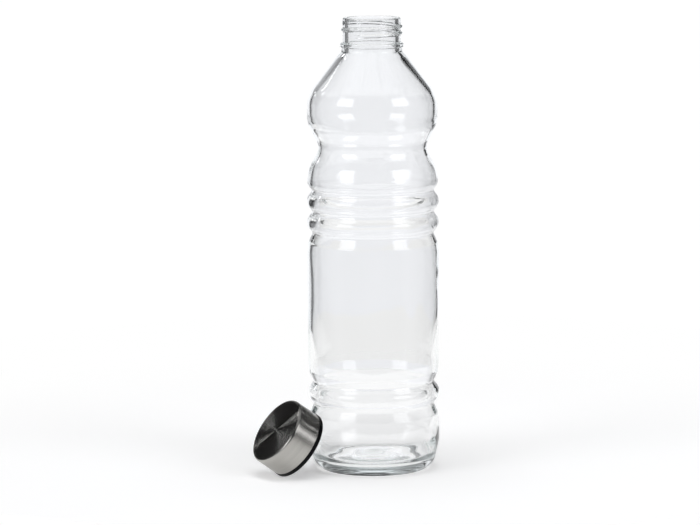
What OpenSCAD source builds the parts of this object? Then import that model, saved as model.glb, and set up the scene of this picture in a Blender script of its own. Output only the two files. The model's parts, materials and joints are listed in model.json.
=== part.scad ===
// Glass water bottle with a steel-clad screw cap that leans against its foot.
// Origin: on the bottle's axis, in the plane that it stands on. +Z is up and -Y is the front.
// Lengths are in millimetres.

/* [Bottle] */
// Height of the glass from the table to its lip
bottle_h = 282; // [245:1:340]
// Widest diameter of the glass
body_d = 82; // [72:1:100]
// Thickness of the side wall
glass_wall = 2.6; // [2:0.1:4]
// Height of the inside floor near its edge
base_t = 5; // [4.5:0.5:9]
// Rise of the inside floor to its middle
base_rise = 2.5; // [1:0.5:5]
// Rise of the hollow under the base
punt_h = 3.5; // [2:0.5:5]
// Outer diameter of the ring that it stands on
stand_d = 67; // [60:1:69]
// Width of the ring that it stands on
stand_w = 2.5; // [1.5:0.5:4]

/* [Neck] */
// Bore of the neck
bore_d = 30; // [24:0.5:31]
// Outside of the neck, between the turns of the thread
neck_d = 36; // [35:0.5:43]
// Rounding of the lip
lip_round = 1.1; // [0.5:0.1:1.4]
// Diameter of the bead under the thread
bead_d = 39.2; // [38.5:0.1:47]
// Thickness of the bead
bead_t = 2.6; // [1.6:0.1:3]
// Drop from the lip to the middle of the bead
bead_drop = 17; // [16:0.5:18]

/* [Thread] */
// Rise of the thread in one turn
thread_pitch = 4.0; // [3.5:0.1:5]
// Turns of the glass thread
thread_turns = 1.9; // [1.25:0.05:2]
// Way that the lower end of the glass thread faces, from +X towards +Y
thread_from = 226; // [0:1:359]
// Height of the glass thread over the neck
thread_h = 1.0; // [0.7:0.1:1.2]
// Drop from the lip to the top end of the glass thread
thread_drop = 3.5; // [2.5:0.1:4.5]

/* [Shoulder and waist] */
// Drop from the lip to the start of the shoulder
shoulder_drop = 20.9; // [20:0.1:23]
// Height of the shoulder's slope
shoulder_h = 27.2; // [22:0.2:32]
// Drop from the lip to the middle of the waist
waist_drop = 80.7; // [79:0.1:84]
// Depth of the waist
waist_depth = 8.4; // [4:0.2:10]
// Rounding of the waist
waist_round = 9; // [6:0.5:12]
// Height of the slope over the waist
waist_rise = 15.7; // [12:0.2:17]
// Height of the slope under the waist
waist_fall = 12.2; // [9:0.2:13]

/* [Ring grooves] */
// Drop from the lip to the first upper groove
upper_drop = 107.2; // [104:0.1:110]
// Distance between the upper grooves
upper_step = 13.3; // [12:0.1:15]
// Number of upper grooves
upper_count = 3; // [1:1:3]
// Height of the lowest groove over the table
lower_z = 40.8; // [38:0.1:44]
// Distance between the lower grooves
lower_step = 14; // [12:0.1:16]
// Number of lower grooves
lower_count = 2; // [1:1:2]
// Depth of the grooves
groove_depth = 3.5; // [1:0.1:4]
// Height of a groove between its two edges
groove_h = 9.2; // [7:0.2:11]
// Rounding of the ribs beside a groove
groove_round = 6; // [2:0.5:7]
// Rounding of a groove's root
root_round = 2.2; // [1:0.2:3]
// Height of the soft edge between a row of grooves and a plain wall
soft_h = 6.2; // [4:0.2:7]

/* [Cap] */
// Room between the glass thread and the cap's wall
thread_clear = 0.5; // [0.3:0.05:0.8]
// Thickness of the plastic wall outside the cap's thread
insert_wall = 2.0; // [1.4:0.1:2.6]
// Thickness of the plastic under the steel top
insert_top = 1.5; // [1:0.1:2.5]
// Thickness of the steel
shell_t = 0.5; // [0.4:0.1:0.8]
// Rounding of the steel's top edge
shell_round = 1.5; // [1:0.1:3]
// Height of the black flange
flange_t = 2.6; // [1.2:0.1:3]
// How far the flange stands out past the steel
flange_out = 0.25; // [0.1:0.05:0.6]
// Room between the closed cap's flange and the bead
rim_clear = 0.2; // [0.1:0.05:0.5]
// Thickness of the seal
seal_t = 1.5; // [1:0.1:2.5]
// Width of the seal
seal_w = 5.6; // [4.5:0.1:6.2]
// Room around the seal, which is free to turn in the cap
seal_clear = 0.1; // [0.05:0.05:0.2]

/* [Where the cap rests] */
// Direction from the bottle to the cap, turned from -X towards -Y
cap_bearing = 27; // [0:1:60]
// Slope of the cap's axis over the table
cap_slope = 35.5; // [25:0.5:45]
// Room between the cap and the glass that it leans on
lean_clear = 0.2; // [0.1:0.1:0.5]

/* [Hidden] */
$fn = 96;
arc_step = 14;
ridge_step = 10;

// The glass, from the driving sizes
body_r = body_d / 2;
bore_r = bore_d / 2;
neck_r = neck_d / 2;
bead_r = bead_d / 2;
bead_z = bottle_h - bead_drop;
collar_r = neck_r + 0.8;
bulge_r = body_r - 0.6;
shoulder_z = bottle_h - shoulder_drop;
ease = 2.8;
slope = (shoulder_h - ease) / (bulge_r - collar_r - ease);
upper_zs = [for (i = [0:upper_count - 1]) bottle_h - upper_drop - i * upper_step];
lower_zs = [for (i = [lower_count - 1:-1:0]) lower_z + i * lower_step];
stand_r = stand_d / 2;
heel_z = 4.4;
heel_r = stand_r + (body_r - stand_r) * 0.6;
foot_z = 17.8;
waist_ease = 1.7;
soft_in = 0.7;
inside_groove = 0.7;
shoulder_extra = 2.2;
// The inner shoulder runs parallel to the outer one, a wall's thickness inside it.
inner_drop = glass_wall * sqrt(1 + slope * slope);
inner_neck_z = shoulder_z - ease - inner_drop + (collar_r + ease - bore_r) * slope;
inner_bulge_z = inner_neck_z - (bulge_r - glass_wall - bore_r) * slope;

// The cap, from the neck that it screws on
thread_root = neck_r + thread_h + thread_clear;
insert_r = thread_root + insert_wall;
shell_r = insert_r + shell_t;
flange_r = shell_r + flange_out;
flange_round = 0.4;
skirt_h = bead_drop - bead_t / 2 - rim_clear;
seal_top = skirt_h + seal_t;
insert_h = seal_top + seal_clear + insert_top;
cap_h = insert_h + shell_t;
seal_r = thread_root - seal_clear;
plug_r = seal_r - seal_w - seal_clear;
plug_wall = 1.2;
plug_drop = 3;
cap_thread_h = 1.2;
cap_thread_turns = 1.25;

function unit(v) = v / norm(v);
function flat(lists) = [for (l = lists) for (p = l) p];

// Points of the arc that rounds corner c, where p and n are the corners before and after it.
// Each corner is [radius, height, rounding].
function rounded(p, c, n) =
    let (to_p = [p.x - c.x, p.y - c.y],
         to_n = [n.x - c.x, n.y - c.y],
         u = unit(to_p),
         v = unit(to_n),
         inside = acos(max(-1, min(1, u * v))))
    c[2] == 0 || inside > 179 ? [[c.x, c.y]] :
    let (run = min(c[2] / tan(inside / 2), norm(to_p) * 0.49, norm(to_n) * 0.49),
         middle = [c.x, c.y] + unit(u + v) * run / cos(inside / 2),
         first = [c.x, c.y] + u * run - middle,
         last = [c.x, c.y] + v * run - middle,
         from = atan2(first.y, first.x),
         turn = (atan2(last.y, last.x) - from + 540) % 360 - 180,
         steps = max(1, ceil(abs(turn) / arc_step)))
    [for (i = [0:steps]) let(way = from + turn * i / steps)
        middle + norm(first) * [cos(way), sin(way)]];

function outline(corners) =
    let (count = len(corners))
    flat([for (i = [0:count - 1])
        rounded(corners[(i + count - 1) % count], corners[i], corners[(i + 1) % count])]);

// The corners of a row of ring grooves in a wall of radius r, from the top down. Where the row
// meets a plain wall, above it or below it, its edge is soft.
function grooves(r, heights, depth, soft_above, soft_below, soft) =
    let (last = len(heights) - 1)
    flat([for (i = [0:last]) let (z = heights[i]) concat(
        i == 0 && soft_above ? [[r, z + 2 * soft_h, 12], [r - soft_in, z + soft_h, 5]] :
            [[r, z + groove_h / 2, groove_round * soft]],
        [[r - depth, z, root_round * soft]],
        i == last && soft_below ? [[r - soft_in, z - soft_h, 5], [r, z - 2 * soft_h, 12]] :
            [[r, z - groove_h / 2, groove_round * soft]])]);

// The side from the bulge over the waist down to the lowest groove, for the outside or the inside.
function side(wall, depth, soft) =
    let (r = body_r - wall, z = bottle_h - waist_drop)
    concat(
        [[bulge_r - wall, z + waist_rise, 16 * soft],
         [r - waist_depth, z, waist_round * soft],
         [r - waist_ease, z - waist_fall, 12]],
        grooves(r, upper_zs, depth, false, true, soft),
        grooves(r, lower_zs, depth, true, true, soft));

outside = concat(
    [[neck_r, bottle_h, lip_round],
     [neck_r, bead_z + bead_t / 2, 0.5],
     [bead_r, bead_z + bead_t / 2, bead_t * 0.45],
     [bead_r, bead_z - bead_t / 2, bead_t * 0.45],
     [collar_r, bead_z - bead_t / 2, 0.4],
     [collar_r, shoulder_z, 2],
     [collar_r + ease, shoulder_z - ease, 6],
     [bulge_r, shoulder_z - shoulder_h, 20]],
    side(0, groove_depth, 1),
    [[body_r, foot_z, 22],
     [heel_r, heel_z, 9],
     [stand_r, 0, 1.5]]);

under_base = [
    [stand_r - stand_w, 0, 1],
    [stand_r - stand_w - 4, punt_h * 0.6, 6],
    [0, punt_h, 0]];

inside = concat(
    [[0, base_t + base_rise, 0],
     [stand_r * 0.4, base_t + base_rise, 14],
     [stand_r - 6, base_t, 10],
     [heel_r - glass_wall, base_t + 3, 9],
     [body_r - glass_wall, foot_z + 2, 20]],
    reverse(side(glass_wall, groove_depth * inside_groove, 1.5)),
    [[bulge_r - glass_wall, inner_bulge_z, 16],
     [bore_r, inner_neck_z - shoulder_extra, 3],
     [bore_r, bottle_h, lip_round * 0.8]]);

glass_outline = outline(concat(outside, under_base, inside));
outside_table = [for (p = outline(concat([[0, bottle_h, 0]], outside, [[0, 0, 0]]))) [p.y, p.x]];

// Where the cap rests: its lowest edge is on the table and its highest leans on the glass.
cap_z = (flange_r - flange_round) * cos(cap_slope) + flange_round * (1 - sin(cap_slope));
lean_reach = [for (a = [0:5:60]) lean_distance(a)];
cap_out = max(lean_reach) + lean_clear;

function reverse(list) = [for (i = [len(list) - 1:-1:0]) list[i]];

// How far out the cap's middle has to be for the point of its rim at this angle to meet the glass.
function lean_distance(angle) =
    let (up = flange_r * cos(angle),
         across = flange_r * sin(angle),
         glass_r = lookup(cap_z + up * cos(cap_slope), outside_table))
    up * sin(cap_slope) + sqrt(max(0, glass_r * glass_r - across * across));

// A screw thread's ridge, faded out at both ends. It rises from z = 0, and its root is sunk in the wall.
module ridge(root_r, tip_r, pitch, turns, root_w, tip_w) {
    sink = tip_r > root_r ? -0.4 : 0.4;
    fade = 30;
    whole = turns * 360;
    rings = ceil(whole / ridge_step);
    points = flat([for (i = [0:rings])
        let (a = whole * i / rings,
             grown = min(1, a / fade, (whole - a) / fade),
             tip = root_r + sink / 4 + (tip_r - root_r - sink / 4) * grown,
             z = pitch * a / 360,
             side = [cos(a), sin(a), 0])
        [side * (root_r + sink) + [0, 0, z - root_w / 2],
         side * tip + [0, 0, z - tip_w / 2],
         side * tip + [0, 0, z + tip_w / 2],
         side * (root_r + sink) + [0, 0, z + root_w / 2]]]);
    walls = flat([for (i = [0:rings - 1]) for (k = [0:3])
        let (a = 4 * i + k, b = 4 * i + (k + 1) % 4)
        [[a, b, b + 4], [a, b + 4, a + 4]]]);
    ends = [[0, 3, 2], [0, 2, 1],
        [4 * rings, 4 * rings + 1, 4 * rings + 2], [4 * rings, 4 * rings + 2, 4 * rings + 3]];
    faces = concat(walls, ends);
    polyhedron(points, tip_r > root_r ? faces : [for (f = faces) reverse(f)]);
}

// The cap's own frame: the rim is at z = 0 and the closed end is up.
module at_rest() {
    translate([-cos(cap_bearing) * cap_out, -sin(cap_bearing) * cap_out, cap_z])
        rotate([0, 90 - cap_slope, 180 + cap_bearing])
            children();
}

module glass_bottle() {
    color([0.86, 0.9, 0.89, 0.4]) {
        rotate_extrude() polygon(glass_outline);
        translate([0, 0, bottle_h - thread_drop - thread_turns * thread_pitch]) rotate(thread_from)
            ridge(neck_r, neck_r + thread_h, thread_pitch, thread_turns, 2.6, 1.0);
    }
}

module cap_shell() {
    color([0.74, 0.75, 0.76]) at_rest() rotate_extrude() polygon(outline([
        [0, cap_h, 0],
        [0, insert_h, 0],
        [insert_r, insert_h, max(0.2, shell_round - shell_t)],
        [insert_r, flange_t, 0],
        [shell_r, flange_t, 0],
        [shell_r, cap_h, shell_round]]));
}

module cap_insert() {
    color([0.1, 0.1, 0.11]) at_rest() {
        rotate_extrude() polygon(outline([
            [0, insert_h, 0],
            [0, insert_h - insert_top, 0],
            [plug_r - plug_wall, insert_h - insert_top, 0],
            [plug_r - plug_wall, insert_h - insert_top - plug_drop, 0.3],
            [plug_r, insert_h - insert_top - plug_drop, 0.5],
            [plug_r, insert_h - insert_top, 0],
            [thread_root, insert_h - insert_top, 0],
            [thread_root, 0, 0.6],
            [flange_r, 0, flange_round],
            [flange_r, flange_t, flange_round / 2],
            [insert_r, flange_t, 0],
            [insert_r, insert_h, max(0.2, shell_round - shell_t)]]));
        translate([0, 0, thread_pitch * 0.7])
            ridge(thread_root, thread_root - cap_thread_h, thread_pitch, cap_thread_turns, 2.2, 0.8);
    }
}

module cap_seal() {
    color([0.9, 0.9, 0.88]) at_rest() translate([0, 0, skirt_h]) rotate_extrude() polygon(outline([
        [seal_r - seal_w, 0, 0.2],
        [seal_r, 0, 0.2],
        [seal_r, seal_t, 0.2],
        [seal_r - seal_w, seal_t, 0.2]]));
}

glass_bottle();
cap_shell();
cap_insert();
cap_seal();
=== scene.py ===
"""A clear glass water bottle with a steel-clad screw cap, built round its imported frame."""

import json
import math

import bpy
from mathutils import Matrix, Vector


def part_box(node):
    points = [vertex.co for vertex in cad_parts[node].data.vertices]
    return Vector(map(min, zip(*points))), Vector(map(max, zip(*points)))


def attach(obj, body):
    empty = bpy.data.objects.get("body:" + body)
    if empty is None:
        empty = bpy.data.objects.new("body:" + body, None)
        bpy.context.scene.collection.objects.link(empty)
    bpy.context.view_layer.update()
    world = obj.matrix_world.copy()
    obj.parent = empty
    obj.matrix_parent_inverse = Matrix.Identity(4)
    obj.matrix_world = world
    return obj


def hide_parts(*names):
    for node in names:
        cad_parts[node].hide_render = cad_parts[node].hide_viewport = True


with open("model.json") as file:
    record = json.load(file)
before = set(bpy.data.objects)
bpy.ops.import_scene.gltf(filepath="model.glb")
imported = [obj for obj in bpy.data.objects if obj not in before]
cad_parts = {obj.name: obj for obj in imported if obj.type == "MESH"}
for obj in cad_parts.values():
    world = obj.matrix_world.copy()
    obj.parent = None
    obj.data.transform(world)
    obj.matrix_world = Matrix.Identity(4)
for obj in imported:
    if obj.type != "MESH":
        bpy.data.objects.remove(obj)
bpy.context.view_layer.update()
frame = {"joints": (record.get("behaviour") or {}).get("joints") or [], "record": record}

bl_info = {
    "name": "Glass Water Bottle",
    "version": (1, 0, 0),
    "blender": (4, 5, 0),
    "location": "View3D > Sidebar > Bottle",
    "description": "Makes a ribbed glass bottle, its steel screw cap and a white studio",
    "category": "Object",
}

MM = 0.001
GLASS_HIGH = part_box("glass_bottle")[1]
CAP_JOINT = next(j for j in frame["joints"] if j["name"] == "cap_turn")
MOUNTS = {m["name"]: m for m in frame["record"]["mounts"]}
BEAD_HALF = 1.3 * MM        # half the height of the bead round the neck
BULGE_IN = 0.6 * MM         # how much less the bulge's radius is than the widest radius


def from_hex(text):
    """Turns an sRGB hex colour into the linear one that Blender's sockets hold."""
    channels = [int(text[i:i + 2], 16) / 255 for i in (1, 3, 5)]
    return [c / 12.92 if c <= 0.04045 else ((c + 0.055) / 1.055) ** 2.4 for c in channels]


# ---------------------------------------------------------------- what a user can change

def length(name, description, default):
    """A length property, with its default given in metres."""
    return bpy.props.FloatProperty(name=name, description=description, default=default, unit="LENGTH",
                                   precision=4)


def colour(name, description, default):
    """A colour property, with its default given as an sRGB hex value."""
    return bpy.props.FloatVectorProperty(name=name, description=description, default=from_hex(default),
                                         subtype="COLOR", size=3, min=0, max=1)


class BottleGlassSettings(bpy.types.PropertyGroup):
    """Sizes of the glass."""

    height: length("Height", "From the table to the lip", GLASS_HIGH.z)
    body_radius: length("Body radius", "Widest radius of the glass", GLASS_HIGH.x)
    wall: length("Wall", "Thickness of the side wall", 2.6 * MM)
    base: length("Base", "Height of the inside floor near its edge", 5 * MM)
    base_rise: length("Base rise", "Rise of the inside floor to its middle", 2.5 * MM)
    punt: length("Hollow", "Rise of the hollow under the base", 3.5 * MM)
    stand_radius: length("Stand radius", "Outside of the ring that it stands on", 33.5 * MM)
    bore_radius: length("Bore radius", "Inside of the neck", MOUNTS["mouth_bore"]["dims"]["r_mm"] * MM)
    neck_radius: length("Neck radius", "Outside of the neck between the turns of its thread", 18 * MM)
    bead_radius: length("Bead radius", "Outside of the bead under the thread", 19.6 * MM)
    bead_drop: length("Bead drop", "From the lip down to the middle of the bead", 17 * MM)
    thread_pitch: length("Thread pitch", "Rise of the thread in one turn", 4.0 * MM)
    thread_height: length("Thread height", "How far the thread stands out of the neck", 1.0 * MM)
    thread_turns: bpy.props.FloatProperty(name="Thread turns", description="Length of the glass thread",
                                          default=1.9, min=0.5, max=3)
    wave: length("Wave", "Unevenness of the blown inside wall", 0.8 * MM)
    off_centre: length("Off centre", "How far the inside lies to one side", 0.6 * MM)
    tint: colour("Tint", "Colour that thick glass takes on", "#CFE0E0")


class BottleCapSettings(bpy.types.PropertyGroup):
    """Sizes and colours of the cap, which follow the neck."""

    thread_room: length("Thread room", "Room between the neck's thread and the cap's wall", 0.5 * MM)
    insert_wall: length("Insert wall", "Plastic outside the cap's thread", 2.0 * MM)
    insert_top: length("Insert top", "Plastic under the steel top", 1.5 * MM)
    steel: length("Steel", "Thickness of the steel", 0.5 * MM)
    edge: length("Edge", "Rounding of the steel's top edge", 1.5 * MM)
    flange: length("Flange", "Height of the black flange", 2.6 * MM)
    flange_out: length("Flange overhang", "How far the flange stands out past the steel", 0.25 * MM)
    seal: length("Seal", "Thickness of the seal", 1.5 * MM)
    seal_width: length("Seal width", "Width of the seal", 5.6 * MM)
    steel_colour: colour("Steel colour", "Colour of the stainless steel", "#B9B7B2")
    plastic_colour: colour("Plastic colour", "Colour of the plastic insert", "#0A0A0C")
    seal_colour: colour("Seal colour", "Colour of the silicone", "#E4E4E0")


class BottleStudioSettings(bpy.types.PropertyGroup):
    """The camera, the floor and the light."""

    distance: length("Camera distance", "From the bottle's axis to the camera", 2.120)
    camera_height: length("Camera height", "Height of the camera over the table", 0.420)
    camera_side: length("Camera side", "How far the camera stands to the right of the axis", -14.4 * MM)
    aim_height: length("Aim height", "Height over the table that the camera looks at", 129.2 * MM)
    focal: bpy.props.FloatProperty(name="Focal length", description="Lens in millimetres", default=176.5)
    roll: bpy.props.FloatProperty(name="Roll", description="How far the camera is turned about its view",
                                  default=math.radians(0.4), subtype="ANGLE")
    table: length("Table", "Radius of the round white table", 0.42)
    table_back: length("Table back", "How far the table's middle is behind the bottle", 0.22)
    floor_glow: bpy.props.FloatProperty(name="Floor glow", description="Light that the table gives off",
                                        default=0.40, min=0)
    # A painted pool of light on the table under the glass.
    pool: bpy.props.FloatProperty(name="Light pool", description="How much brighter it is under the glass",
                                  default=1.8, min=0)
    lamp: bpy.props.FloatProperty(name="Lamp", description="Power of the lamp over the table, in watts",
                                  default=11.5, min=0)
    backdrop: bpy.props.FloatProperty(name="Backdrop", description="Brightness of the white backdrop",
                                      default=1.01, min=0)


# ---------------------------------------------------------------- outlines and turned meshes

def rounded(before, corner, after, step):
    """Points of the arc that rounds a corner [radius, height, rounding], at most step degrees apart."""
    here = Vector(corner[:2])
    to_before, to_after = Vector(before[:2]) - here, Vector(after[:2]) - here
    inside = to_before.angle(to_after)
    if corner[2] == 0 or inside > math.radians(179):
        return [here]
    run = min(corner[2] / math.tan(inside / 2), to_before.length * 0.49, to_after.length * 0.49)
    u, v = to_before.normalized(), to_after.normalized()
    middle = here + (u + v).normalized() * run / math.cos(inside / 2)
    first, last = here + u * run - middle, here + v * run - middle
    start = math.atan2(first.y, first.x)
    turn = (math.atan2(last.y, last.x) - start + math.pi) % math.tau - math.pi
    steps = max(1, math.ceil(abs(math.degrees(turn)) / step))
    angles = [start + turn * i / steps for i in range(steps + 1)]
    return [middle + first.length * Vector((math.cos(a), math.sin(a))) for a in angles]


def outline(corners, step, closed=False):
    """The rounded outline of a list of corners. An open one starts and ends at sharp corners."""
    points = []
    for i, corner in enumerate(corners):
        if not closed and i in (0, len(corners) - 1):
            points.append(Vector(corner[:2]))
        else:
            points += rounded(corners[i - 1], corner, corners[(i + 1) % len(corners)], step)
    return points


def spaced(points, gap):
    """The same line with points added, so that no two are further apart than gap(point) allows."""
    out = [points[0]]
    for a, b in zip(points, points[1:]):
        cuts = max(1, math.ceil((b - a).length / gap((a + b) / 2)))
        out += [a.lerp(b, i / cuts) for i in range(1, cuts + 1)]
    return out


def turned(name, points, columns, closed=False):
    """Turns an outline about +Z into a closed mesh whose faces point outwards.
    Its UV map holds the length along the outline, in millimetres, and the way round, from 0 to 1."""
    rows = [p for i, p in enumerate(points) if i == 0 or (p - points[i - 1]).length > 1e-6]
    verts, rings = [], []
    for p in rows:
        count = 1 if p.x < 1e-7 else columns
        rings.append((len(verts), count))
        verts += [(p.x * math.cos(a), p.x * math.sin(a), p.y)
                  for a in (math.tau * k / columns for k in range(count))]
    runs = [0.0]
    for a, b in zip(rows, rows[1:]):
        runs.append(runs[-1] + (b - a).length / MM)
    pairs = [(i, i + 1, runs[i + 1]) for i in range(len(rows) - 1)]
    if closed:
        pairs.append((len(rows) - 1, 0, runs[-1] + (rows[0] - rows[-1]).length / MM))
    faces, uvs = [], []
    for i, j, run_end in pairs:
        for k in range(columns):
            corners = []
            for row, column, run in ((i, k, runs[i]), (i, k + 1, runs[i]),
                                     (j, k + 1, run_end), (j, k, run_end)):
                start, count = rings[row]
                corners.append((start + column % count, (run, column / columns)))
            kept = [c for n, c in enumerate(corners) if c[0] != corners[n - 1][0]]
            faces.append([c[0] for c in kept])
            uvs += [c[1] for c in kept]
    mesh = bpy.data.meshes.new(name)
    mesh.from_pydata(verts, [], faces)
    layer = mesh.uv_layers.new(name="turned")
    layer.data.foreach_set("uv", [n for uv in uvs for n in uv])
    if signed_area(rows) < 0:
        mesh.flip_normals()
    mesh.shade_smooth()
    mesh.update()
    piece = bpy.data.objects.new(name, mesh)
    bpy.context.scene.collection.objects.link(piece)
    return piece


def signed_area(points):
    """Twice the area inside an outline, positive where it runs anticlockwise."""
    return sum(a.x * b.y - b.x * a.y for a, b in zip(points, points[1:] + points[:1]))


def mark(piece, name, amount):
    """Stores a number for each vertex, which amount works out from where the vertex is."""
    attribute = piece.data.attributes.new(name, "FLOAT", "POINT")
    attribute.data.foreach_set("value", [amount(v.co) for v in piece.data.vertices])


def smooth_step(low, high, value):
    """0 below low, 1 above high and an S-curve between them."""
    t = min(1, max(0, (value - low) / (high - low)))
    return t * t * (3 - 2 * t)


# ---------------------------------------------------------------- node trees

def add(tree, kind, inputs=None, **settings):
    """Adds one node to a tree with its settings, values and links, and returns its first output."""
    node = tree.nodes.new(kind)
    for name, value in settings.items():
        setattr(node, name, value)
    for key, value in (inputs or {}).items():
        if isinstance(value, bpy.types.NodeSocket):
            tree.links.new(value, node.inputs[key])
        else:
            node.inputs[key].default_value = value
    return node.outputs[0] if node.outputs else node


def new_geometry_tree(name, sizes):
    """A tree with a mesh in, named sizes and a material, and the sockets that they come in by."""
    tree = bpy.data.node_groups.new(name, "GeometryNodeTree")
    tree.interface.new_socket("Geometry", in_out="INPUT", socket_type="NodeSocketGeometry")
    for size in sizes:
        tree.interface.new_socket(size, in_out="INPUT", socket_type="NodeSocketFloat")
    tree.interface.new_socket("Material", in_out="INPUT", socket_type="NodeSocketMaterial")
    tree.interface.new_socket("Geometry", in_out="OUTPUT", socket_type="NodeSocketGeometry")
    entry = tree.nodes.new("NodeGroupInput")
    return tree, {socket.name: socket for socket in entry.outputs if socket.name}


def close_tree(tree, geometry, material):
    """Ends a tree with plain geometry in the given material."""
    real = add(tree, "GeometryNodeRealizeInstances", {0: geometry})
    done = add(tree, "GeometryNodeSetMaterial", {"Geometry": real, "Material": material})
    add(tree, "NodeGroupOutput", {0: done})
    return tree


def run_tree(piece, tree, values):
    """Runs a tree on a piece and keeps the result as the piece's plain mesh."""
    modifier = piece.modifiers.new(tree.name, "NODES")
    modifier.node_group = tree
    for item in tree.interface.items_tree:
        if item.in_out == "INPUT" and item.name in values:
            modifier[item.identifier] = values[item.name]
    shape = piece.evaluated_get(bpy.context.evaluated_depsgraph_get())
    mesh = bpy.data.meshes.new_from_object(shape)
    piece.modifiers.clear()
    mesh.name = piece.name
    piece.data = mesh


def thread_tree():
    """Raises a screw thread on the part of a turned mesh that its threaded attribute marks."""
    tree, size = new_geometry_tree("Wind the thread", [
        "Height", "Pitch", "Turns", "Lowest", "Start", "Root", "Crest", "Fade"])
    place = add(tree, "GeometryNodeInputPosition")
    x, y, z = add(tree, "ShaderNodeSeparateXYZ", {0: place}).node.outputs
    angle = add(tree, "ShaderNodeMath", {0: y, 1: x}, operation="ARCTAN2")
    ahead = add(tree, "ShaderNodeMath", {0: angle, 1: size["Start"]}, operation="SUBTRACT")
    part = add(tree, "ShaderNodeMath", {0: ahead, 1: math.tau}, operation="DIVIDE")
    above = add(tree, "ShaderNodeMath", {0: z, 1: size["Lowest"]}, operation="SUBTRACT")
    level = add(tree, "ShaderNodeMath", {0: above, 1: size["Pitch"]}, operation="DIVIDE")
    whole = add(tree, "ShaderNodeMath", {0: level, 1: part}, operation="SUBTRACT")
    nearest = add(tree, "ShaderNodeMath", {0: whole}, operation="ROUND")
    turn = add(tree, "ShaderNodeMath", {0: part, 1: nearest}, operation="ADD")
    off = add(tree, "ShaderNodeMath", {0: level, 1: turn}, operation="SUBTRACT")
    away = add(tree, "ShaderNodeMath", {0: off}, operation="ABSOLUTE")
    distance = add(tree, "ShaderNodeMath", {0: away, 1: size["Pitch"]}, operation="MULTIPLY")
    ridge = add(tree, "ShaderNodeMapRange", {"Value": distance, "From Min": size["Crest"],
                "From Max": size["Root"], "To Min": 1.0, "To Max": 0.0}, interpolation_type="SMOOTHSTEP")
    left = add(tree, "ShaderNodeMath", {0: size["Turns"], 1: turn}, operation="SUBTRACT")
    rise = add(tree, "ShaderNodeMapRange", {"Value": turn, "From Max": size["Fade"]},
               interpolation_type="SMOOTHSTEP")
    fall = add(tree, "ShaderNodeMapRange", {"Value": left, "From Max": size["Fade"]},
               interpolation_type="SMOOTHSTEP")
    marked = add(tree, "GeometryNodeInputNamedAttribute", {"Name": "threaded"}, data_type="FLOAT")
    amount = size["Height"]
    for share in (ridge, rise, fall, marked):
        amount = add(tree, "ShaderNodeMath", {0: amount, 1: share}, operation="MULTIPLY")
    flat = add(tree, "ShaderNodeCombineXYZ", {0: x, 1: y})
    outward = add(tree, "ShaderNodeVectorMath", {0: flat}, operation="NORMALIZE")
    shift = add(tree, "ShaderNodeVectorMath", {0: outward, "Scale": amount}, operation="SCALE")
    moved = add(tree, "GeometryNodeSetPosition", {"Geometry": size["Geometry"], "Offset": shift})
    return close_tree(tree, moved, size["Material"])


def blown_tree():
    """Makes the inside of a blown bottle uneven: off centre, and wavy, most of all on its +X side."""
    tree, size = new_geometry_tree("Blow the inside", [
        "Depth", "Across", "Along", "Off Centre", "Uneven Side", "Seed"])
    place = add(tree, "GeometryNodeInputPosition")
    x, y, z = add(tree, "ShaderNodeSeparateXYZ", {0: place}).node.outputs
    flat = add(tree, "ShaderNodeCombineXYZ", {0: x, 1: y})
    outward = add(tree, "ShaderNodeVectorMath", {0: flat}, operation="NORMALIZE")
    wide = add(tree, "ShaderNodeVectorMath", {0: outward, "Scale": size["Across"]}, operation="SCALE")
    tall = add(tree, "ShaderNodeMath", {0: z, 1: size["Along"]}, operation="DIVIDE")
    lift = add(tree, "ShaderNodeCombineXYZ", {2: tall})
    where = add(tree, "ShaderNodeVectorMath", {0: wide, 1: lift}, operation="ADD")
    marked = add(tree, "GeometryNodeInputNamedAttribute", {"Name": "blown"}, data_type="FLOAT")
    thick = add(tree, "ShaderNodeTexNoise", {"Vector": where, "W": size["Seed"], "Scale": 1.0,
                                             "Detail": 1.0}, noise_dimensions="4D")
    thin = add(tree, "ShaderNodeMath", {0: thick, 1: 0.5}, operation="SUBTRACT")
    even = add(tree, "ShaderNodeMath", {0: thin, 1: size["Depth"]}, operation="MULTIPLY")
    aside = add(tree, "ShaderNodeSeparateXYZ", {0: outward})
    worse = add(tree, "ShaderNodeMapRange", {"Value": aside, "From Min": 0.3, "From Max": 0.95,
                                             "To Min": 0.7, "To Max": size["Uneven Side"]})
    depth = add(tree, "ShaderNodeMath", {0: even, 1: worse}, operation="MULTIPLY")
    inward = add(tree, "ShaderNodeMath", {0: depth, 1: marked}, operation="MULTIPLY")
    push = add(tree, "ShaderNodeVectorMath", {0: outward, "Scale": inward}, operation="SCALE")
    drift = add(tree, "ShaderNodeMath", {0: size["Off Centre"], 1: marked}, operation="MULTIPLY")
    across = add(tree, "ShaderNodeCombineXYZ", {0: drift})
    both = add(tree, "ShaderNodeVectorMath", {0: push, 1: across}, operation="ADD")
    moved = add(tree, "GeometryNodeSetPosition", {"Geometry": size["Geometry"], "Offset": both})
    return close_tree(tree, moved, size["Material"])


def new_material(name):
    """An empty material and its tree."""
    material = bpy.data.materials.new(name)
    material.use_nodes = True
    material.node_tree.nodes.clear()
    return material, material.node_tree


# ---------------------------------------------------------------- finishes

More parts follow.
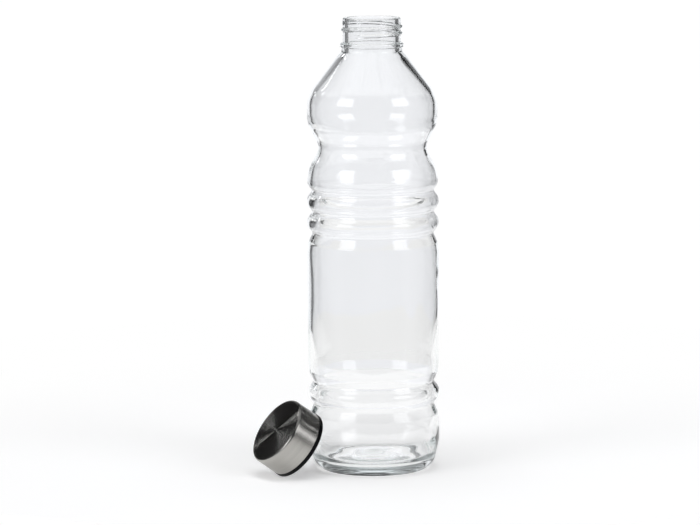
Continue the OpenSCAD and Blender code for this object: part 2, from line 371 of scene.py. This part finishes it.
def flint_glass(tint):
    """Soda-lime flint glass, blown in a mould and fire-polished."""
    # Glass of this kind bends light by 1.52 and is clear. Its thick base shows a cool green-grey tint.
    material, tree = new_material("soda_lime_flint_glass")
    place = add(tree, "ShaderNodeTexCoord").node.outputs["Object"]
    # The mould leaves a soft ripple of about 12 mm in the skin of the glass.
    ripple = add(tree, "ShaderNodeTexNoise", {"Vector": place, "Scale": 1 / (12 * MM), "Detail": 1.0})
    bump = add(tree, "ShaderNodeBump", {"Height": ripple, "Strength": 0.15, "Distance": 0.1 * MM})
    surface = add(tree, "ShaderNodeBsdfPrincipled", {
        "Base Color": (1, 1, 1, 1), "Roughness": 0.0, "IOR": 1.52, "Transmission Weight": 1.0,
        "Normal": bump})
    volume = add(tree, "ShaderNodeVolumeAbsorption", {"Color": (*tint, 1), "Density": 8.0})
    add(tree, "ShaderNodeOutputMaterial", {"Surface": surface, "Volume": volume})
    return material


def spun_steel(tint):
    """Stainless steel sheet, spun on the top and brushed round the side."""
    # The brush leaves fine lines round the cap, so lights smear across them into bright streaks.
    material, tree = new_material("spun_brushed_stainless_steel")
    uv = add(tree, "ShaderNodeUVMap", uv_map="turned")
    # Real lines are about 0.05 mm apart. They are drawn 0.8 mm apart, so that they show.
    lines = add(tree, "ShaderNodeMapping", {"Vector": uv, "Scale": (1 / 0.8, 3.0, 1.0)})
    grain = add(tree, "ShaderNodeTexNoise", {"Vector": lines, "Scale": 1.0, "Detail": 2.0})
    bump = add(tree, "ShaderNodeBump", {"Height": grain, "Strength": 0.02, "Distance": 0.02 * MM})
    # The outline's last stretch is the top, which is smoother. Both lengths are in mm along the outline.
    side_end, top_start = 53.0, 56.0
    run = add(tree, "ShaderNodeSeparateXYZ", {0: uv})
    rough = add(tree, "ShaderNodeMapRange", {"Value": run, "From Min": side_end, "From Max": top_start,
                                             "To Min": 0.27, "To Max": 0.13})
    streak = add(tree, "ShaderNodeMapRange", {"Value": run, "From Min": side_end, "From Max": top_start,
                                              "To Min": 0.9, "To Max": 1.0})
    shade = add(tree, "ShaderNodeMapRange", {"Value": grain, "From Min": 0.3, "From Max": 0.7,
                                             "To Min": 0.9, "To Max": 1.0})
    metal = add(tree, "ShaderNodeVectorMath", {0: tint, 1: shade}, operation="MULTIPLY")
    tangent = add(tree, "ShaderNodeTangent", direction_type="UV_MAP", uv_map="turned")
    surface = add(tree, "ShaderNodeBsdfPrincipled", {
        "Base Color": metal, "Metallic": 1.0, "Roughness": rough, "Anisotropic": streak,
        "Tangent": tangent, "Normal": bump})
    add(tree, "ShaderNodeOutputMaterial", {"Surface": surface})
    return material


def moulded_polypropylene(tint):
    """Black polypropylene, injection moulded with a satin skin."""
    # A satin plastic gives wide, dim highlights over a very fine grain.
    material, tree = new_material("moulded_black_polypropylene")
    place = add(tree, "ShaderNodeTexCoord").node.outputs["Object"]
    grain = add(tree, "ShaderNodeTexNoise", {"Vector": place, "Scale": 1 / (0.3 * MM), "Detail": 2.0})
    bump = add(tree, "ShaderNodeBump", {"Height": grain, "Strength": 0.2, "Distance": 0.02 * MM})
    rough = add(tree, "ShaderNodeMapRange", {"Value": grain, "To Min": 0.32, "To Max": 0.48})
    surface = add(tree, "ShaderNodeBsdfPrincipled", {
        "Base Color": (*tint, 1), "Roughness": rough, "IOR": 1.49, "Specular IOR Level": 0.1,
        "Normal": bump})
    add(tree, "ShaderNodeOutputMaterial", {"Surface": surface})
    return material


def moulded_silicone(tint):
    """White food-grade silicone, compression moulded and matt."""
    # Silicone is soft and slightly see-through, so light spreads a little under its skin.
    material, tree = new_material("moulded_silicone_rubber")
    place = add(tree, "ShaderNodeTexCoord").node.outputs["Object"]
    dust = add(tree, "ShaderNodeTexNoise", {"Vector": place, "Scale": 1 / (0.8 * MM), "Detail": 2.0})
    rough = add(tree, "ShaderNodeMapRange", {"Value": dust, "To Min": 0.5, "To Max": 0.65})
    bump = add(tree, "ShaderNodeBump", {"Height": dust, "Strength": 0.1, "Distance": 0.02 * MM})
    surface = add(tree, "ShaderNodeBsdfPrincipled", {
        "Base Color": (*tint, 1), "Roughness": rough, "IOR": 1.41, "Subsurface Weight": 0.2,
        "Subsurface Radius": (1 * MM, 1 * MM, 1 * MM), "Normal": bump})
    add(tree, "ShaderNodeOutputMaterial", {"Surface": surface})
    return material


# ---------------------------------------------------------------- the glass

def groove_row(radius, heights, depth, softness, soft_above, soft_below):
    """Corners of a row of ring grooves in a wall, from the top down, soft where it meets a plain wall."""
    half, soft, soft_in = 4.6 * MM, 6.2 * MM, 0.7 * MM
    rib, root = 6 * MM * softness, 2.2 * MM * softness
    corners = []
    for i, z in enumerate(heights):
        if i == 0 and soft_above:
            corners += [[radius, z + 2 * soft, 12 * MM], [radius - soft_in, z + soft, 5 * MM]]
        else:
            corners.append([radius, z + half, rib])
        corners.append([radius - depth, z, root])
        if i == len(heights) - 1 and soft_below:
            corners += [[radius - soft_in, z - soft, 5 * MM], [radius, z - 2 * soft, 12 * MM]]
        else:
            corners.append([radius, z - half, rib])
    return corners


def side_corners(glass, wall, depth, softness):
    """Corners of the side, from the bulge under the shoulder down to the lowest groove."""
    radius, bulge = glass.body_radius - wall, glass.body_radius - BULGE_IN - wall
    waist, waist_depth, waist_rise, waist_fall = glass.height - 80.7 * MM, 8.4 * MM, 15.7 * MM, 12.2 * MM
    upper_drop, upper_step, lowest, lower_step = 107.2 * MM, 13.3 * MM, 40.8 * MM, 14 * MM
    upper = [glass.height - upper_drop - upper_step * i for i in range(3)]
    lower = [lowest + lower_step * i for i in (1, 0)]
    return [[bulge, waist + waist_rise, 16 * MM * softness],
            [radius - waist_depth, waist, 9 * MM * softness],
            [radius - 1.7 * MM, waist - waist_fall, 12 * MM],
            *groove_row(radius, upper, depth, softness, False, True),
            *groove_row(radius, lower, depth, softness, True, True)]


def glass_corners(glass):
    """Corners of the whole glass: under the base, up the outside, over the lip and down the inside."""
    top, ease = glass.height, 2.8 * MM
    bead, bulge = top - glass.bead_drop, glass.body_radius - BULGE_IN
    collar_out, shoulder_drop, bulge_drop = 0.8 * MM, 20.9 * MM, 27.2 * MM
    collar, shoulder = glass.neck_radius + collar_out, top - shoulder_drop
    slope = (bulge_drop - ease) / (bulge - collar - ease)
    inner_neck = shoulder - ease - glass.wall * math.hypot(1, slope) \
        + (collar + ease - glass.bore_radius) * slope
    inner_bulge = inner_neck - (bulge - glass.wall - glass.bore_radius) * slope
    stand = glass.stand_radius
    heel = stand + (glass.body_radius - stand) * 0.6
    outside = [
        [glass.neck_radius, top, 1.1 * MM],
        [glass.neck_radius, bead + BEAD_HALF, 0.5 * MM],
        [glass.bead_radius, bead + BEAD_HALF, 1.17 * MM],
        [glass.bead_radius, bead - BEAD_HALF, 1.17 * MM],
        [collar, bead - BEAD_HALF, 0.4 * MM],
        [collar, shoulder, 2 * MM],
        [collar + ease, shoulder - ease, 6 * MM],
        [bulge, shoulder - bulge_drop, 20 * MM],
        *side_corners(glass, 0, 3.5 * MM, 1),
        [glass.body_radius, 17.8 * MM, 22 * MM],
        [heel, 4.4 * MM, 9 * MM],
        [stand, 0, 1.5 * MM]]
    under = [
        [stand - 2.5 * MM, 0, 1 * MM],
        [stand - 6.5 * MM, glass.punt * 0.6, 6 * MM],
        [0, glass.punt, 0]]
    inside = [
        [glass.bore_radius, top, 0.88 * MM],
        [glass.bore_radius, inner_neck - 2.2 * MM, 3 * MM],
        [bulge - glass.wall, inner_bulge, 16 * MM],
        *side_corners(glass, glass.wall, 2.45 * MM, 1.5),
        [glass.body_radius - glass.wall, 19.8 * MM, 20 * MM],
        [heel - glass.wall, glass.base + 3 * MM, 9 * MM],
        [stand - 6 * MM, glass.base, 10 * MM],
        [stand * 0.4, glass.base + glass.base_rise, 14 * MM],
        [0, glass.base + glass.base_rise, 0]]
    return under[::-1] + outside[::-1] + inside


class BOTTLE_OT_blow_glass(bpy.types.Operator):
    """Blow the glass in one piece, from its hollow base to its threaded neck"""

    bl_idname = "bottle.blow_glass"
    bl_label = "Blow the glass"

    def execute(self, context):
        glass = context.scene.bottle_glass
        material = flint_glass(glass.tint)
        neck_low = glass.height - glass.bead_drop + BEAD_HALF

        def gap(point):
            """Rows lie close together where the thread is raised."""
            if point.y > neck_low and point.x > glass.bore_radius + 1 * MM:
                return 0.3 * MM
            return 5 * MM

        points = spaced(outline(glass_corners(glass), 4.5), gap)
        piece = turned("glass", points, 132)
        mark(piece, "threaded", lambda co: float(math.hypot(co.x, co.y) > glass.neck_radius - 0.01 * MM
                                                 and neck_low + 0.5 * MM < co.z < glass.height - 1.2 * MM))
        # A line halfway through the wall tells the inside from the outside.
        halfway = outline([[glass.bore_radius + 1 * MM, glass.height, 0],
                           [glass.bore_radius + 1 * MM, glass.height - 21 * MM, 0],
                           *side_corners(glass, glass.wall / 2, 3 * MM, 1.2),
                           [glass.body_radius - glass.wall / 2, 0, 0]], 12)
        limits = spaced(halfway, lambda point: 0.5 * MM)
        mark(piece, "blown", lambda co: inside_share(glass, limits, co))
        thread_drop, thread_from = 3.5 * MM, math.radians(226 - 360)
        lowest = glass.height - thread_drop - glass.thread_turns * glass.thread_pitch
        run_tree(piece, thread_tree(), {
            "Height": glass.thread_height, "Pitch": glass.thread_pitch, "Turns": glass.thread_turns,
            "Lowest": lowest, "Start": thread_from, "Root": 1.2 * MM, "Crest": 0.4 * MM,
            "Fade": 0.1, "Material": material})
        run_tree(piece, blown_tree(), {
            "Depth": glass.wave, "Across": 2.2, "Along": 40 * MM, "Off Centre": glass.off_centre,
            "Uneven Side": 2.6, "Seed": 3.0, "Material": material})
        finish_piece(piece, "bottle", "glass_bottle")
        return {"FINISHED"}


def inside_share(glass, limits, co):
    """How far a point of the glass may move: 1 on the inside of the body, 0 outside and at both ends."""
    nearest = min(limits, key=lambda point: abs(point[1] - co.z))
    if math.hypot(co.x, co.y) > nearest[0]:
        return 0.0
    foot, side_start, side_end, neck = 14 * MM, 26 * MM, glass.height - 50 * MM, glass.height - 26 * MM
    return smooth_step(foot, side_start, co.z) * (1 - smooth_step(side_end, neck, co.z))


# ---------------------------------------------------------------- the cap

def cap_sizes(context):
    """The radii and heights of the cap, worked out from the neck that it fits."""
    glass, cap = context.scene.bottle_glass, context.scene.bottle_cap
    root = glass.neck_radius + glass.thread_height + cap.thread_room
    skirt = glass.bead_drop - BEAD_HALF - 0.2 * MM
    insert = root + cap.insert_wall
    top = skirt + cap.seal + 0.1 * MM + cap.insert_top
    seal = root - 0.1 * MM
    return {"root": root, "insert": insert, "shell": insert + cap.steel,
            "flange": insert + cap.steel + cap.flange_out, "skirt": skirt, "insert_top": top,
            "top": top + cap.steel, "seal": seal, "plug": seal - cap.seal_width - 0.1 * MM}


def cap_place():
    """The turn and place that the cap's joint gives: its axis, and its rim on the table."""
    axis = Vector(CAP_JOINT["axis"]).normalized()
    turn = Vector((0, 0, 1)).rotation_difference(axis).to_matrix().to_4x4()
    return Matrix.Translation(Vector(CAP_JOINT["pos_m"])) @ turn


class BOTTLE_OT_draw_shell(bpy.types.Operator):
    """Draw the steel shell of the cap"""

    bl_idname = "bottle.draw_shell"
    bl_label = "Draw the cap's shell"

    def execute(self, context):
        cap, size = context.scene.bottle_cap, cap_sizes(context)
        inner_edge = max(0.2 * MM, cap.edge - cap.steel)
        corners = [[0, size["insert_top"], 0],
                   [size["insert"], size["insert_top"], inner_edge],
                   [size["insert"], cap.flange, 0.05 * MM],
                   [size["shell"], cap.flange, 0.15 * MM],
                   [size["shell"], size["top"], cap.edge],
                   [0, size["top"], 0]]
        piece = turned("cap_steel", spaced(outline(corners, 8), lambda point: 1.5 * MM), 192)
        piece.data.materials.append(spun_steel(cap.steel_colour))
        piece.data.transform(cap_place())
        finish_piece(piece, "cap", "cap_shell")
        return {"FINISHED"}


class BOTTLE_OT_mould_insert(bpy.types.Operator):
    """Mould the plastic insert with its thread, plug and flange"""

    bl_idname = "bottle.mould_insert"
    bl_label = "Mould the cap's insert"

    def execute(self, context):
        glass, cap, size = context.scene.bottle_glass, context.scene.bottle_cap, cap_sizes(context)
        ceiling = size["insert_top"] - cap.insert_top
        plug = size["plug"]
        corners = [[0, ceiling, 0],
                   [plug - 1.2 * MM, ceiling, 0.4 * MM],
                   [plug - 1.2 * MM, ceiling - 3 * MM, 0.3 * MM],
                   [plug, ceiling - 3 * MM, 0.5 * MM],
                   [plug, ceiling, 0],
                   [size["root"], ceiling, 0],
                   [size["root"], 0, 0.6 * MM],
                   [size["flange"], 0, 0.4 * MM],
                   [size["flange"], cap.flange, 0.2 * MM],
                   [size["insert"], cap.flange, 0],
                   [size["insert"], size["insert_top"], max(0.2 * MM, cap.edge - cap.steel)],
                   [0, size["insert_top"], 0]]

        def gap(point):
            """Rows lie close together on the wall that carries the thread."""
            return 0.4 * MM if abs(point.x - size["root"]) < 0.1 * MM else 2 * MM

        piece = turned("cap_plastic", spaced(outline(corners, 12), gap), 144)
        mark(piece, "threaded", lambda co: float(abs(math.hypot(co.x, co.y) - size["root"]) < 0.02 * MM
                                                 and 0.7 * MM < co.z < ceiling - 1 * MM))
        material = moulded_polypropylene(cap.plastic_colour)
        run_tree(piece, thread_tree(), {
            "Height": -1.2 * MM, "Pitch": glass.thread_pitch, "Turns": 1.25,
            "Lowest": glass.thread_pitch * 0.7, "Start": math.pi, "Root": 1.1 * MM, "Crest": 0.35 * MM,
            "Fade": 0.08, "Material": material})
        piece.data.transform(cap_place())
        finish_piece(piece, "cap", "cap_insert")
        return {"FINISHED"}


class BOTTLE_OT_mould_seal(bpy.types.Operator):
    """Mould the silicone ring that seals on the lip"""

    bl_idname = "bottle.mould_seal"
    bl_label = "Mould the seal"

    def execute(self, context):
        cap, size = context.scene.bottle_cap, cap_sizes(context)
        low, high = size["skirt"], size["skirt"] + cap.seal
        inner, outer = size["seal"] - cap.seal_width, size["seal"]
        # A shallow groove is worn where the lip presses.
        corners = [[inner, low, 0.2 * MM], [inner + 1.6 * MM, low, 0.3 * MM],
                   [inner + 2.0 * MM, low + 0.12 * MM, 0.3 * MM],
                   [outer - 1.8 * MM, low + 0.12 * MM, 0.3 * MM],
                   [outer - 1.4 * MM, low, 0.3 * MM], [outer, low, 0.2 * MM],
                   [outer, high, 0.2 * MM], [inner, high, 0.2 * MM]]
        piece = turned("cap_silicone", outline(corners, 15, closed=True), 144, closed=True)
        piece.data.materials.append(moulded_silicone(cap.seal_colour))
        piece.data.transform(cap_place())
        finish_piece(piece, "seal", "cap_seal")
        return {"FINISHED"}


def finish_piece(piece, body, node):
    """Drops a finished piece's working attributes, hangs it on its body and hides the CAD part that it
    stands for.
    """
    for name in ("threaded", "blown"):
        if name in piece.data.attributes:
            piece.data.attributes.remove(piece.data.attributes[name])
    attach(piece, body)
    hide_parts(node)


# ---------------------------------------------------------------- the studio

def pale_floor(glow, pool, foot):
    """Matt white acrylic sheet, lit from below, with a painted pool of light under the foot, where glass
    gathers light.
    """
    material, tree = new_material("lit_white_acrylic")
    place = add(tree, "ShaderNodeTexCoord").node.outputs["Object"]
    away = add(tree, "ShaderNodeVectorMath", {0: place}, operation="LENGTH").node.outputs["Value"]
    # Painted light: the sheet gives off more light inside the foot's radius, in place of the light that
    # the glass would gather there.
    near = add(tree, "ShaderNodeMapRange", {"Value": away, "From Min": foot, "From Max": foot * 1.1,
                                            "To Min": glow * pool, "To Max": glow})
    # Far from the bottle the sheet runs into the white backdrop: it only gives off light there.
    fade_start, fade_end = 0.15, 0.45
    far = add(tree, "ShaderNodeMapRange", {"Value": away, "From Min": fade_start, "From Max": fade_end},
              interpolation_type="SMOOTHSTEP")
    given = add(tree, "ShaderNodeMix", {"Factor": far, "A": near, "B": 1.0})
    matt = add(tree, "ShaderNodeMapRange", {"Value": far, "To Min": 0.8, "To Max": 0.0})
    surface = add(tree, "ShaderNodeBsdfPrincipled", {
        "Base Color": matt, "Roughness": 0.9, "Specular IOR Level": 0.0,
        "Emission Color": (1, 1, 1, 1), "Emission Strength": given})
    add(tree, "ShaderNodeOutputMaterial", {"Surface": surface})
    return material


# Each light patch round the studio: the way to its middle, clockwise from straight behind the bottle,
# half its width, its lowest and highest edge, how soft its edges are, all in degrees, and its brightness.
LIGHT_PATCHES = [
    (0, 25, -90, 8, 5, 1.02),         # the white backdrop, wide below
    (0, 11, 13, 23, 5, 1.02),         # and narrow above
    (-24, 10, 13, 40, 5, 0.28),       # a grey board beside it on the left
    (-54, 16, -9, 0, 4, 0.22),        # the pale wall on the left
    (54, 16, -9, 0, 4, 0.12),         # and on the right
    (-127, 12, 14, 34, 7, 3.0),       # the left softbox
    (125, 12, 14, 34, 7, 3.0),        # the right softbox
    (0, 180, 62, 90, 12, 0.4),        # the white ceiling
    (-51, 0.5, 27, 33, 1, 8),         # a narrow strip over the left
    (-37, 1, 14, 16, 1, 5),           # and a small lamp under it
    (-95, 20, -20, 60, 12, 0.2),      # a grey card on the left
]
DARK_ROOM = 0.02


def studio_world(backdrop):
    """A white studio round the object: white to the camera, with lights and dark gaps to the glass."""
    world = bpy.data.worlds.new("white_studio")
    world.use_nodes = True
    tree = world.node_tree
    tree.nodes.clear()
    way = add(tree, "ShaderNodeTexCoord").node.outputs["Generated"]
    x, y, z = add(tree, "ShaderNodeSeparateXYZ", {0: way}).node.outputs
    around = add(tree, "ShaderNodeMath", {0: x, 1: y}, operation="ARCTAN2")
    up = add(tree, "ShaderNodeMath", {0: z}, operation="ARCSINE")
    light = DARK_ROOM
    for middle, half, low, high, soft, bright in LIGHT_PATCHES:
        aside = add(tree, "ShaderNodeMath", {0: around, 1: math.radians(middle)}, operation="SUBTRACT")
        near = add(tree, "ShaderNodeMath", {0: aside, 1: -math.pi, 2: math.pi}, operation="WRAP")
        away = add(tree, "ShaderNodeMath", {0: near}, operation="ABSOLUTE")
        share = add(tree, "ShaderNodeMapRange", {
            "Value": away, "From Min": math.radians(half + soft), "From Max": math.radians(half)},
            interpolation_type="SMOOTHSTEP")
        over = add(tree, "ShaderNodeMapRange", {
            "Value": up, "From Min": math.radians(low - soft), "From Max": math.radians(low)},
            interpolation_type="SMOOTHSTEP")
        under = add(tree, "ShaderNodeMapRange", {
            "Value": up, "From Min": math.radians(high + soft), "From Max": math.radians(high)},
            interpolation_type="SMOOTHSTEP")
        patch = bright
        for mask in (share, over, under):
            patch = add(tree, "ShaderNodeMath", {0: patch, 1: mask}, operation="MULTIPLY")
        light = add(tree, "ShaderNodeMath", {0: light, 1: patch}, operation="ADD")
    seen = add(tree, "ShaderNodeBackground", {"Color": (1, 1, 1, 1), "Strength": backdrop})
    lit = add(tree, "ShaderNodeBackground", {"Color": (*from_hex("#FBFCFF"), 1), "Strength": light})
    camera_ray = add(tree, "ShaderNodeLightPath").node.outputs["Is Camera Ray"]
    both = add(tree, "ShaderNodeMixShader", {0: camera_ray, 1: lit, 2: seen})
    add(tree, "ShaderNodeOutputWorld", {"Surface": both})
    return world


class BOTTLE_OT_set_stage(bpy.types.Operator):
    """Lay the pale table, light it and set up the camera"""

    bl_idname = "bottle.set_stage"
    bl_label = "Set the stage"

    def execute(self, context):
        scene, studio = context.scene, context.scene.bottle_studio
        mesh = bpy.data.meshes.new("table")
        corners = 96
        rim = [(studio.table * math.cos(a), studio.table_back + studio.table * math.sin(a), 0)
               for a in (math.tau * k / corners for k in range(corners))]
        mesh.from_pydata(rim, [], [list(range(corners))])
        mesh.materials.append(pale_floor(studio.floor_glow, studio.pool, scene.bottle_glass.stand_radius))
        table = bpy.data.objects.new("table", mesh)
        scene.collection.objects.link(table)
        lamp = bpy.data.objects.new("table_lamp", bpy.data.lights.new("table_lamp", "AREA"))
        lamp_width, lamp_place = 1.1, (0.1, -0.1, 1.6)
        lamp.data.energy, lamp.data.size = studio.lamp, lamp_width
        lamp.location = lamp_place
        # It lights the table alone, so the glass doesn't mirror it.
        lamp.visible_glossy = lamp.visible_transmission = lamp.visible_camera = False
        scene.collection.objects.link(lamp)
        scene.world = studio_world(studio.backdrop)
        scene.view_settings.view_transform = "Standard"
        # Light goes round inside a thick glass foot many times before it leaves it.
        scene.cycles.max_bounces, scene.cycles.glossy_bounces = 32, 20
        scene.cycles.transmission_bounces = 24

        camera = bpy.data.objects.new("camera", bpy.data.cameras.new("camera"))
        camera.data.lens = studio.focal
        camera.data.clip_end = 100
        scene.collection.objects.link(camera)
        camera.location = (studio.camera_side, -studio.distance, studio.camera_height)
        aim = Vector((studio.camera_side, 0, studio.aim_height))
        view = (aim - camera.location).to_track_quat("-Z", "Y").to_matrix().to_4x4()
        roll = Matrix.Rotation(-studio.roll, 4, "Z")
        camera.matrix_world = Matrix.Translation(camera.location) @ view @ roll
        scene.camera = camera
        return {"FINISHED"}


# ---------------------------------------------------------------- the add-on

class BOTTLE_PT_panel(bpy.types.Panel):
    """The bottle's sizes and the steps that make it"""

    bl_label = "Bottle"
    bl_idname = "BOTTLE_PT_panel"
    bl_space_type = "VIEW_3D"
    bl_region_type = "UI"
    bl_category = "Bottle"

    def draw(self, context):
        layout = self.layout
        for group in (context.scene.bottle_glass, context.scene.bottle_cap, context.scene.bottle_studio):
            box = layout.box()
            for name in group.bl_rna.properties.keys():
                if name not in ("rna_type", "name"):
                    box.prop(group, name)
        for step in STEPS:
            layout.operator(step.bl_idname)


SETTINGS = {"bottle_glass": BottleGlassSettings, "bottle_cap": BottleCapSettings,
            "bottle_studio": BottleStudioSettings}
STEPS = (BOTTLE_OT_set_stage, BOTTLE_OT_blow_glass, BOTTLE_OT_draw_shell, BOTTLE_OT_mould_insert,
         BOTTLE_OT_mould_seal)


def register():
    for name, group in SETTINGS.items():
        bpy.utils.register_class(group)
        setattr(bpy.types.Scene, name, bpy.props.PointerProperty(type=group))
    for kind in (*STEPS, BOTTLE_PT_panel):
        bpy.utils.register_class(kind)


def unregister():
    for kind in (BOTTLE_PT_panel, *STEPS):
        bpy.utils.unregister_class(kind)
    for name, group in SETTINGS.items():
        delattr(bpy.types.Scene, name)
        bpy.utils.unregister_class(group)


def main():
    register()
    bpy.ops.bottle.set_stage()
    bpy.ops.bottle.blow_glass()
    bpy.ops.bottle.draw_shell()
    bpy.ops.bottle.mould_insert()
    bpy.ops.bottle.mould_seal()


if __name__ == "__main__":
    main()
